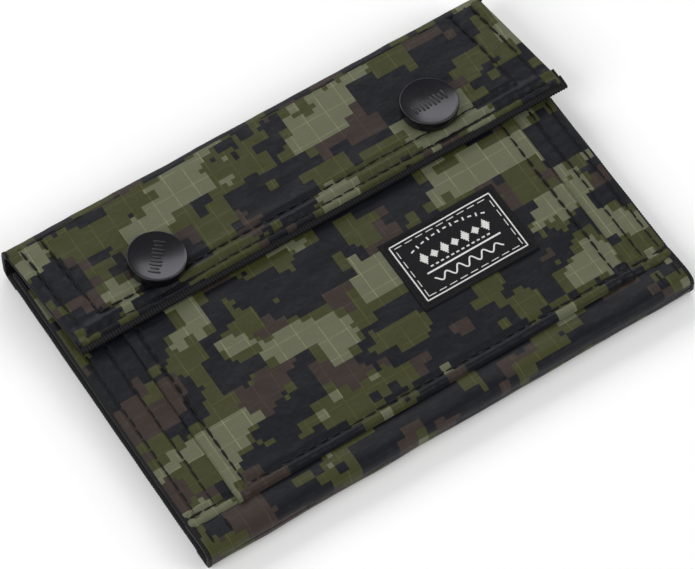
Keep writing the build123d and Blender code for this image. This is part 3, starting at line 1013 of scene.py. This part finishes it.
def near_fold():
    """The cloth round the near fold, in two pieces that meet halfway up its spine."""
    out_y, low_z, high_z = NEAR_LOW[1], BACK_LOW[2], BAND_TOP
    mid_z = (NEAR_LOW[2] + NEAR_HIGH[2]) / 2
    hinge_y = -HINGE_Y
    relief = fold_waves(41)
    upper = [(out_y, mid_z), (out_y, mid_z + 1.0), (out_y, high_z - 1.9), (out_y + 0.45, high_z - 0.5),
             (out_y + 1.9, high_z + 0.05), (hinge_y + 2.5, high_z - 0.02), (SEAM_Y - 1.0, high_z - 0.35),
             (SEAM_Y + 2.2, high_z - 0.75)]
    lower = [(-FOLD_END_Y, low_z + REST_Z), (hinge_y + 0.8, low_z + REST_Z), (out_y + 1.9, low_z + REST_Z),
             (out_y + 0.45, low_z + 0.65), (out_y, low_z + 2.0), (out_y, mid_z - 0.6), (out_y, mid_z)]
    over = (("near_spine", "front"), (out_y, NEAR_BEND_Z[0]), (hinge_y, NEAR_BEND_Z[1]))
    under = (("back", "near_spine"), (hinge_y, 0), (out_y, LOW_BEND_Z))
    fold_piece("near_fold_upper", upper, CAMO_BAND, 10, relief, over,
               ("front_fold_band", "near_spine_shell", "near_spine_lining"))
    fold_piece("near_fold_lower", lower, CAMO_BAND, 2, relief, under)

    def band_top(x, y):
        return 0 * x + high_z - 0.02 - 0.10 * ease(y, hinge_y + 2, SEAM_Y)

    rows = [[(line, SEAM_Y - 1.6), (line, hinge_y + 0.6)] for line in SIDE_STITCHES]
    stitches("band_stitching", "front", rows, band_top, seed=17)


def far_fold():
    """The cloth round the far fold, in two pieces that meet halfway up its spine."""
    out_y, low_z, high_z = FAR_HIGH[1], BACK_LOW[2], FLAP_TOP
    mid_z = (FAR_LOW[2] + FAR_HIGH[2]) / 2
    hinge_y = HINGE_Y
    relief = fold_waves(43)
    upper = [(hinge_y - 0.6, high_z), (hinge_y + 0.2, high_z - 0.02), (out_y - 0.4, high_z - 0.5),
             (out_y, high_z - 2.2), (out_y, mid_z + 1.2), (out_y, mid_z)]
    lower = [(out_y, mid_z), (out_y, mid_z - 0.8), (out_y, low_z + 2.0), (out_y - 0.45, low_z + 0.65),
             (out_y - 1.9, low_z + REST_Z), (hinge_y - 0.8, low_z + REST_Z), (FOLD_END_Y, low_z + REST_Z)]
    over = (("flap", "far_spine"), (hinge_y, high_z), (out_y, FAR_BEND_Z))
    under = (("far_spine", "back"), (out_y, LOW_BEND_Z), (hinge_y, 0))
    fold_piece("far_fold_upper", upper, CAMO_FLAP, 0, relief, over, ("far_spine_shell", "far_spine_lining"))
    fold_piece("far_fold_lower", lower, CAMO_FLAP, 8.2, relief, under)


# ---- flap ----
def flap_share(y):
    """0 at the flap's fold and 1 at its free edge."""
    return (FLAP_FOLD_Y - y) / (FLAP_FOLD_Y - FLAP_EDGE_Y)


def flap_left(y):
    return -HALF - 0.25 + 1.8 * flap_share(y)


def flap_right(y):
    return HALF + 0.25 + 3.5 * flap_share(y)


def flap_skin(x, y):
    """Height of the flap's cloth: a rolled hem, side seams, and a dip at each snap."""
    z = FLAP_TOP + 0.10 * ripple(x, y, 51, 24.0) + 0.04 * ripple(x, y, 52, 8.0)
    side, free = inward(x, flap_left(y), flap_right(y)), y - FLAP_EDGE_Y
    z = z + seam(side - FLAP_OUTER_IN, y, 0.30)
    z = z + 0.16 * dent(side - 1.4, 1.2)
    past_hem = ease(free, HEM_STITCH_IN - 0.5, HEM_STITCH_IN + 0.5)
    z = z + seam(side - FLAP_INNER_IN, y, 0.30) * past_hem
    past_side = ease(side, FLAP_INNER_IN - 0.5, FLAP_INNER_IN + 0.5)
    z = z + seam(free - HEM_STITCH_IN, x, 0.42) * past_side
    z = z + seam(free - ROLL_STITCH_IN, x + 1.1, 0.50) * ease(side, 2.4, 3.4)
    z = z + 0.24 * dent(free - 3.6, 1.1)
    z = z + 0.34 * dent(free - 0.85, 0.65) * (0.86 + 0.14 * np.sin(x * 1.3 + np.sin(x * 0.31)))
    for snap_x, snap_y in SNAPS:
        z = z - 0.42 * dent(np.hypot(x - snap_x, y - snap_y), 9.5)
    z = z + 0.25 * dent(free, 5.0) * np.cos(x / 15.5)
    return z - roundover(side, 0.6) * 0.9 - roundover(free, 0.95)


def flap():
    low_z = FLAP_LOW[2] + 0.05
    hem_y, roll_y = FLAP_EDGE_Y + HEM_STITCH_IN, FLAP_EDGE_Y + ROLL_STITCH_IN

    def under(x, y):
        side = inward(x, flap_left(y), flap_right(y))
        return low_z + roundover(np.minimum(side, y - FLAP_EDGE_Y), 0.35)

    near_x = (-HALF + FLAP_OUTER_IN, -HALF + FLAP_INNER_IN, HALF - FLAP_INNER_IN, HALF - FLAP_OUTER_IN)
    xs = lines(-HALF, HALF, 0.8, near_x, 1.8, 0.3)
    ys = lines(FLAP_EDGE_Y, FLAP_FOLD_Y, 0.7, (hem_y, roll_y))
    panel("flap_cloth", "flap", "flap_shell", "camo_nylon", xs, ys, flap_skin, under, CAMO_FLAP,
          FLAP_CUT, "stretched", ["flap_lining_cloth"], flap_left, flap_right)

    def side_row(inset, edge, last_y):
        return [(edge(y) + inset, y) for y in np.linspace(FLAP_FOLD_Y - 0.6, last_y, 12)]

    rows = []
    for inset, last_y in ((FLAP_OUTER_IN, roll_y), (FLAP_INNER_IN, hem_y)):
        left, right = side_row(inset, flap_left, last_y), side_row(-inset, flap_right, last_y)
        rows += [left, [left[-1], right[-1]], right]
    stitches("flap_stitching", "flap", rows, flap_skin, seed=14)


def flap_under():
    """Black lining on the flap's inner face, and the ribbed tape along its free edge."""
    low, high = box_mm("flap_lining")
    edge, past = FLAP_EDGE_Y, 0.3

    def left(y):
        return flap_left(y) - past

    def right(y):
        return flap_right(y) + past

    def over(x, y):
        return high[2] + 0.30 - roundover(inward(x, left(y), right(y)), 0.25)

    def face(x, y):
        side = inward(x, left(y), right(y))
        z = low[2] + 0.05 * ripple(x, y, 61, 20.0) - seam(side - FLAP_OUTER_IN, y, 0.16)
        return z + roundover(np.minimum(side, y - edge), 0.2)

    xs = lines(-HALF + 0.6, HALF - 0.6, 1.0, (-HALF + 3.6, HALF - 3.6))
    ys = lines(edge + 0.3, FLAP_FOLD_Y + 0.1, 1.0)
    panel("flap_lining_cloth", "flap", "flap_lining", "black_lining", xs, ys, over, face, LINING,
          FLAP_LINING_CUT, "stretched", ["flap_cloth"], left, right)
    ends = (39.0, edge + HEM_STITCH_IN)
    left_row = [(flap_left(y) + FLAP_INNER_IN, y) for y in ends]
    right_row = [(flap_right(y) - FLAP_INNER_IN, y) for y in ends]
    rows = [[left_row[1], right_row[1]], left_row, right_row]
    stitches("flap_inner_stitching", "flap", rows, lambda x, y: face(x, y) - 0.02, seed=15,
             material=INNER_THREAD, side=-1, radius=0.18)
    outline = [(edge + 4.6, 8.46), (edge + 2.0, 8.32), (edge - 0.45, 8.18), (edge - 1.15, 8.28),
               (edge - 1.26, 9.02), (edge - 0.6, 9.50), (edge + 1.0, 9.70), (edge + 1.8, 9.76)]
    edge_tape("flap_edge_tape", "flap", "flap_edge_binding", outline, "x", flap_left(edge) - 0.3,
              flap_right(edge) + 0.7, tape_relief(62, rib=0.10, wave=0.04, size=15.0), thick=0.35)


# ---- tapes over the panels' edges ----
def tape_relief(seed, rib=0.05, wave=0.03, size=12.0):
    """Ribs across a tape, with slow waves in its height."""
    return lambda along, arc: tape_ribs(along, rib) + wave * ripple(along, arc, seed, size)


def edge_tape(name, body, node, outline, along, low, high, relief, thick=0.3):
    """Ribbed tape folded over an edge, in place of its CAD node."""
    tape = ribbon(name, outline, along, low, high, TAPE_STEP, thick, [TAPE], relief, path_step=0.3)
    settle(tape, body, [node], "binding_tape")


def end_bindings():
    """The tapes over the short ends of the back and front panels, wider on the faces inside."""
    wide, narrow = [TAPE_IN, HALF - 1.5], [HALF - 0.6]
    for side, sign in SIDES:
        for body, over, under, bend in (("back", wide, narrow, 0.45), ("front", narrow, wide[::-1], 0.5)):
            low, high = box_mm(f"{body}_binding_{side}")
            top, bottom = (high[2], low[2] + 0.15) if body == "back" else (high[2] - 0.15, low[2] + 0.12)
            outline = [(x, top) for x in (*over, HALF + 0.3)]
            outline += [(TAPE_OUT, top - bend), (TAPE_OUT, bottom + 0.45)]
            outline += [(x, bottom) for x in (HALF + 0.3, *under)]
            outline = [(sign * x, z) for x, z in outline][::sign]
            edge_tape(f"{body}_end_tape_{side}", body, f"{body}_binding_{side}", outline, "y",
                      low[1] + 0.1, high[1] - 0.1, tape_relief(91))


def front_edge():
    """The tape that closes the front panel's free edge, under the flap."""
    low, high = box_mm("front_edge_binding")
    out_y = 39.0
    outline = [(low[1] + 0.2, high[2]), (out_y - 0.6, high[2]), (out_y, high[2] - 0.5),
               (out_y, low[2] + 0.5), (out_y - 0.5, low[2]), (out_y - 1.4, low[2])]
    edge_tape("front_edge_tape", "front", "front_edge_binding", outline, "x", -HALF - 0.6, HALF + 0.6,
              tape_relief(131))


# ---- back panel and the sheets inside ----
def back_panel():
    low, high = BACK_LOW, BACK_HIGH

    def face(x, y):
        z = low[2] + 0.03 + 0.03 * ripple(x, y, 71, 20.0)
        for line in BACK_STITCHES:
            z = z - seam(x - line, y, 0.16)
        return np.maximum(z + roundover(inward(x, -HALF, HALF), 0.4), 0.0)

    xs = lines(-HALF, HALF, 1.0, BACK_STITCHES)
    ys = lines(-BACK_END_Y, BACK_END_Y, 1.0)
    panel("back_cloth", "back", "back_shell", "camo_nylon", xs, ys, level(high[2] - 0.05), face,
          CAMO_BACK, BACK_CUT, "stretched", ["back_stiffener"])
    rows = [[(line, -38.0), (line, 38.0)] for line in BACK_STITCHES]
    stitches("back_stitching", "back", rows, lambda x, y: face(x, y) + 0.14, seed=16, side=-1, radius=0.14)


def inner_sheet(name, node, body, seed, mouth=None, step=1.2, sew=True):
    """A lining sheet in place of a CAD node, with soft waves. It can have sewn sides and a turned
    mouth at the y given. It faces up on the back and down on the front."""
    low, high = box_mm(node)
    facing = 1 if body == "back" else -1
    facing_z, back_z = (high[2], low[2]) if facing > 0 else (low[2], high[2])
    sewn_x = (low[0] + INNER_STITCH_IN, high[0] - INNER_STITCH_IN)
    mouth_rows = [] if mouth is None else [mouth - inset for inset in MOUTH_STITCHES_IN]

    def face(x, y):
        z = 0.07 * ripple(x, y, seed, 21.0) + 0.03 * ripple(x, y, seed + 200, 7.0)
        z = z - roundover(border(x, y, low, high), 0.16)
        if mouth_rows:
            z = z + 0.16 * ease(y, mouth - 4.4, mouth - 3.6) + 0.10 * dent(y - (mouth - 0.8), 0.7)
            z = z + seam(y - mouth_rows[1], x, 0.14, 0.5) + seam(y - mouth_rows[0], x, 0.10, 0.4)
        if sew:
            z = z + seam(inward(x, low[0], high[0]) - INNER_STITCH_IN, y, 0.14, 0.5)
        return facing_z + facing * (z - 0.02)

    near_y = mouth_rows + [mouth - 4.0] if mouth_rows else ()
    xs = lines(low[0], high[0], step, sewn_x, 0.8, 0.25)
    ys = lines(low[1], high[1], step, near_y, 0.8, 0.25)
    faces = (face, level(back_z))[::facing]
    panel(name, body, node, "black_lining", xs, ys, *faces, LINING, high[:2] - low[:2])
    rows = [[(x, low[1] + 1), (x, high[1] - 1)] for x in sewn_x] if sew else []
    rows += [[(low[0] + 2.0, y), (high[0] - 2.0, y)] for y in mouth_rows]
    if rows:
        stitches(name + "_stitching", body, rows, lambda x, y: face(x, y) + facing * 0.02, seed=seed + 1,
                 material=INNER_THREAD, side=facing, pitch=2.8, radius=0.17)


def back_inside():
    inner_sheet("bill_wall_cloth", "bill_pocket_wall", "back", seed=81, sew=False)
    for k in (1, 2, 3):
        node = f"card_slot_{k}"
        inner_sheet(f"card_slot_cloth_{k}", node, "back", seed=81 + 2 * k, mouth=box_mm(node)[1][1])


# ---- inside of the front: coin pocket, zip and window ----
def coin_pocket():
    inner_sheet("front_lining_cloth", "front_lining", "front", seed=101, sew=False)
    inner_sheet("coin_wall_cloth", "coin_pocket_wall", "front", seed=103)
    inner_sheet("coin_top_cloth", "coin_pocket_top_strip", "front", seed=105, sew=False)
    for k, side in enumerate(("left", "right", "bottom")):
        inner_sheet(f"coin_welt_{side}", f"coin_pocket_seam_{side}", "front", seed=107 + k, step=0.8,
                    sew=False)
    zip_tape("lower", seed=111)
    zip_tape("upper", seed=112)


def zip_tape(side, seed):
    """One of the zip's tapes, with twill lines along it and the row that sews it down."""
    low, high = box_mm(f"zip_tape_{side}")

    def face(x, y):
        twill = 0.03 * np.cos(math.tau * (y - low[1]) / 0.8)
        return low[2] + twill + roundover(inward(y, low[1], high[1]), 0.12)

    xs, ys = lines(low[0], high[0], 1.2), lines(low[1], high[1], 0.2)
    panel(f"zip_tape_cloth_{side}", "front", f"zip_tape_{side}", "binding_tape", xs, ys, level(high[2]),
          face, TAPE_Y, high[:2] - low[:2])
    row_y = low[1] + 1.0 if side == "lower" else high[1] - 1.0
    row = [(low[0] + 1, row_y), (high[0] - 1, row_y)]
    stitches(f"zip_stitching_{side}", "front", [row], face, seed, INNER_THREAD, side=-1, pitch=2.6,
             radius=0.16)


def coil_loop(points, faces, uv, x, y0, y1, z, sign):
    """One turn of the zip's nylon coil: up from the tape edge, round the head and back."""
    base, rings, sides, radius = len(points), 12, 6, 0.27
    for k in range(rings):
        t = k / (rings - 1)
        turn = math.pi * t
        y = y0 + (y1 - y0) * math.sin(turn) ** 0.7
        spot_x = x + 0.52 * (t - 0.5)
        spot_z = z - 0.24 * math.cos(turn)
        lean = abs(math.cos(turn))
        for j in range(sides):
            a = math.tau * j / sides
            points.append((spot_x + radius * math.cos(a),
                           y + sign * radius * math.sin(a) * (1 - lean),
                           spot_z + radius * math.sin(a) * (0.45 + 0.55 * lean)))
            uv.append((t * 4, j / sides))
    closed_tube(faces, base, rings)


def zip_coils():
    mid = (box_mm("zip_coil_lower")[1][1] + box_mm("zip_coil_upper")[0][1]) / 2
    for side, sign, shift in (("lower", -1, 0.0), ("upper", 1, COIL_PITCH / 2)):
        low, high = box_mm(f"zip_coil_{side}")
        start = low[1] + 0.3 if sign < 0 else high[1] - 0.3
        points, faces, uv = [], [], []
        for x in np.arange(low[0] + 0.6 + shift, high[0] - 0.5, COIL_PITCH):
            coil_loop(points, faces, uv, x, start, mid + sign * 0.12, (low[2] + high[2]) / 2, sign)
        coil = add_mesh(f"zip_coil_teeth_{side}", points, faces, uv, [COIL])
        settle(coil, "front", [f"zip_coil_{side}"], "zip_coil")


def window():
    low, high = box_mm("id_window")

    def face(x, y):
        return low[2] + 0.04 * ripple(x, y, 121, 18.0)

    xs, ys = (lines(low[k], high[k], 1.5) for k in (0, 1))
    panel("window_pane", "front", "id_window", "clear_vinyl", xs, ys, lambda x, y: face(x, y) + 0.2,
          face, VINYL, high[:2] - low[:2])
    for k, side in enumerate(("left", "right", "bottom", "top")):
        inner_sheet(f"window_border_{side}", f"id_frame_{side}", "front", seed=123 + 2 * k, step=0.9)


# ---- snaps ----
def cap_outline(top, base, rim):
    """Half a cap's section: its underside, its side, a thin rim and a hollow top."""
    outline = [(0, base - 0.5), (3.0, base - 0.45), (rim - 1.6, base - 0.2), (rim - 0.75, base - 0.1),
               (rim - 0.35, base - 0.05), (rim - 0.22, base + 0.3), (rim - 0.14, base + 1.0),
               (rim - 0.05, base + 1.8), (rim, top - 0.45), (rim - 0.04, top - 0.12), (rim - 0.16, top),
               (rim - 0.34, top - 0.03), (rim - 0.48, top - 0.13)]
    for radius in (6.1, 5.6, 5.0, 4.3, 3.5, 2.6, 1.7, 0.8, 0):
        outline.append((radius, top - 0.78 + DISH_DEPTH * (radius / DISH_RADIUS) ** 2))
    return outline


def cap_bars(name, x, y, top, turn):
    """A row of short raised bars with round ends, in the hollow top of the cap at (x, y)."""
    points, faces, sides = [], [], 20
    rings = ((0.30, -0.12), (0.30, 0.05), (0.24, 0.11), (0.12, 0.14))
    for k in range(9):
        base, half = len(points), (1.45, 1.05, 1.45)[k % 3]
        for radius, rise in rings:
            for j in range(sides):
                angle = math.tau * (j + 0.5) / sides
                along = radius * math.sin(angle) + math.copysign(half - 0.3, math.sin(angle))
                points.append(((k - 4) * 1.02 + radius * math.cos(angle), along, rise))
        tube_faces(faces, base, len(rings), sides)
        last = len(points) - sides
        faces += [tuple(range(last, last + sides)), tuple(range(base + sides - 1, base - 1, -1))]
    spots = np.array(points)
    flat = spots[:, :2].copy()
    spots[:, 2] += top - 0.80 + DISH_DEPTH * (flat ** 2).sum(1) / DISH_RADIUS ** 2
    spin = math.radians(turn)
    spots[:, :2] = flat @ [[math.cos(spin), math.sin(spin)], [-math.sin(spin), math.cos(spin)]] + [x, y]
    return add_mesh(name, spots, faces, flat, [CAP_RIBS])


def snaps():
    """Black caps with short bars on their tops, a little askew as pressed-on caps are."""
    for k, side in enumerate(("left", "right")):
        (low, high), (x, y) = SNAP_BOXES[k], SNAPS[k]
        top, base, rim = high[2], FLAP_TOP - 0.45, (high[0] - low[0]) / 2
        cap = turned(f"snap_button_{side}", cap_outline(top, base, rim), x, y, CAP)
        smooth = cap.modifiers.new("soften", "SUBSURF")
        smooth.levels = smooth.render_levels = 1
        marks = cap_bars(f"snap_ribs_{side}", x, y, top, BAR_TURNS[k])
        pivot = Matrix.Translation(Vector((x, y, base)) * MM)
        lean = Matrix.Rotation(math.radians(CAP_LEAN), 4, Vector(LEAN_AXES[k]))
        for piece in (cap, marks):
            piece.data.transform(pivot @ lean @ pivot.inverted())
            piece.data.update()
        settle(cap, "flap", [f"snap_cap_{side}"], "snap_cap")
        settle(marks, "flap", slot="snap_cap")


def kept_parts():
    """Gives the hard CAD parts that stay their materials."""
    plan = {METAL: "snap_socket_left snap_socket_right snap_stud_left snap_stud_right stud_rivet_left "
                   "stud_rivet_right",
            ZIP_METAL: "zip_slider zip_pull",
            COIL: "zip_stop_left zip_stop_right",
            BOARD: "back_stiffener front_stiffener"}
    for material, names in plan.items():
        for name in names.split():
            slots = frame["nodes"][name].data.materials
            slots.clear()
            slots.append(material)


# ---- studio ----
def studio():
    """A white floor, an even white world and three large lamps, with places in metres."""
    scene = bpy.context.scene
    scene.view_settings.view_transform = "Standard"
    half, z = 3000, -0.05
    corners = [(-half, -half), (half, -half), (half, half), (-half, half)]
    m = Shade("studio_floor")
    place = m.solid()
    tone = m.mix(m.noise(place, 4.0), (0.93, 0.93, 0.93), (0.95, 0.95, 0.95))
    m.finish(tone, m.mul_add(m.noise(place, 30.0), 0.1, 0.75), Specular_IOR_Level=0.1)
    floor = add_mesh("floor", [(x, y, z) for x, y in corners], [(0, 1, 2, 3)], corners, [m.material])
    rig.stage(floor)
    world = bpy.data.worlds.new("studio")
    scene.world = world
    world.use_nodes = True
    background = world.node_tree.nodes["Background"]
    background.inputs["Color"].default_value = (1, 1, 1, 1)
    background.inputs["Strength"].default_value = 0.33
    lamps = (("key", (0.10, 0.80, 0.62), 1.2, 0.42, 6.0), ("left", (-0.95, -0.15, 0.80), 0.8, 0.8, 8.0),
             ("right", (0.90, -0.75, 0.65), 0.8, 0.8, 7.5))
    for name, where, width, height, power in lamps:
        light = bpy.data.lights.new(name, "AREA")
        light.shape = "RECTANGLE"
        light.size, light.size_y, light.energy = width, height, power
        lamp = bpy.data.objects.new(name, light)
        scene.collection.objects.link(lamp)
        lamp.location = where
        lamp.rotation_euler = (-Vector(where)).to_track_quat("-Z", "Y").to_euler()


def camera():
    """The photo's viewpoint: a long lens from high up at the near left."""
    data = bpy.data.cameras.new("camera")
    data.lens, data.sensor_width = 211.5, 36.0
    data.clip_start, data.clip_end = 0.01, 50
    cam = bpy.data.objects.new("camera", data)
    bpy.context.scene.collection.objects.link(cam)
    azimuth, elevation, distance = math.radians(-32.68), math.radians(60.55), 0.9072
    turn = Matrix.Rotation(azimuth, 4, "Z") @ Matrix.Rotation(math.pi / 2 - elevation, 4, "X")
    target = Matrix.Translation(Vector((-0.0002, -0.00023, 0)))
    cam.matrix_world = target @ turn @ Matrix.Translation(Vector((0, 0, distance)))
    bpy.context.scene.camera = cam


camera()
studio()
front_panel()
pocket()
label()
label_marks()
near_fold()
flap()
flap_under()
far_fold()
back_panel()
back_inside()
end_bindings()
coin_pocket()
zip_coils()
window()
front_edge()
snaps()
kept_parts()

low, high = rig.bounds()
sizes = {"cad": [list(CAD_LOW), list(CAD_HIGH)], "visual": [list(low), list(high)]}
with open("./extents.json", "w") as out:
    json.dump(sizes, out)
